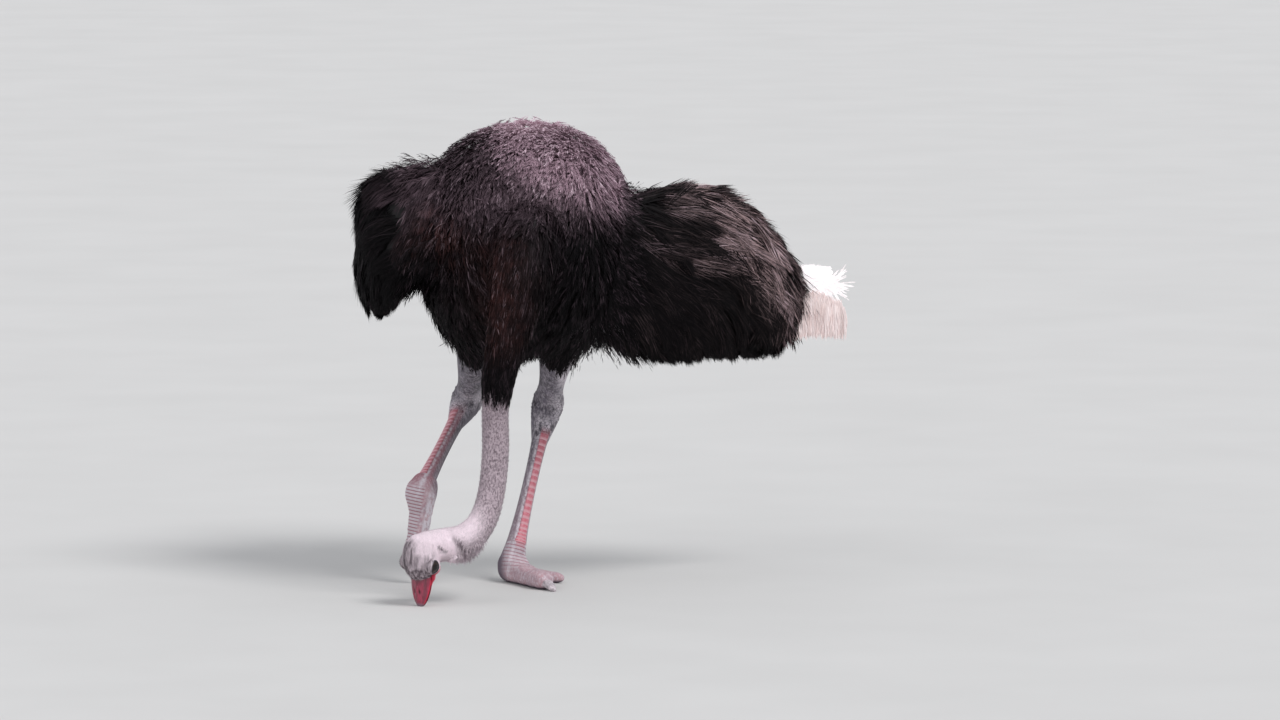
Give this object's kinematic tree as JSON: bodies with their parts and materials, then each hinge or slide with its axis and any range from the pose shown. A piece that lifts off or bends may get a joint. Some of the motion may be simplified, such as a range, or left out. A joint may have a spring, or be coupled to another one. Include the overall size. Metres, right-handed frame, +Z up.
{
  "type": "ostrich",
  "caption": "Life-size model of a male ostrich pecking at the ground, one wing held out, standing on one foot with the other lifted.",
  "frame": {"origin": "on the floor under the centre of the bird's bounding box", "axes": "+Z up, +Y towards the tail, +X towards the bird's left, so that it faces -Y"},
  "size_m": [1.5328, 1.2854, 1.4277],
  "materials": {
    "feathers_black": "matte",
    "feathers_tail": "matte",
    "feathers_white": "matte",
    "neck_down": "matte",
    "leg_skin": "matte",
    "scutes": "satin",
    "bill_horn": "satin",
    "claw_horn": "satin",
    "eye": "gloss"
  },
  "bodies": {
    "root": {"trunk": "feathers_black", "tail": "feathers_tail", "wing_left": "feathers_black", "wing_right": "feathers_black", "primaries_left": "feathers_white", "primaries_right": "feathers_white", "neck_base": "feathers_black", "neck_lower": "neck_down", "neck_middle": "neck_down", "neck_upper": "neck_down", "head": "neck_down", "bill_upper": "bill_horn", "bill_lower": "bill_horn", "eye_left": "eye", "eye_right": "eye", "thigh_left": "leg_skin", "hock_left": "leg_skin", "tarsus_left": "scutes", "foot_left": "scutes", "toe_big_left": "scutes", "toe_outer_left": "scutes", "claw_left": "claw_horn", "thigh_right": "leg_skin", "hock_right": "leg_skin", "tarsus_right": "scutes", "foot_right": "scutes", "toe_big_right": "scutes", "toe_outer_right": "scutes", "claw_right": "claw_horn"}
  },
  "joints": []
}
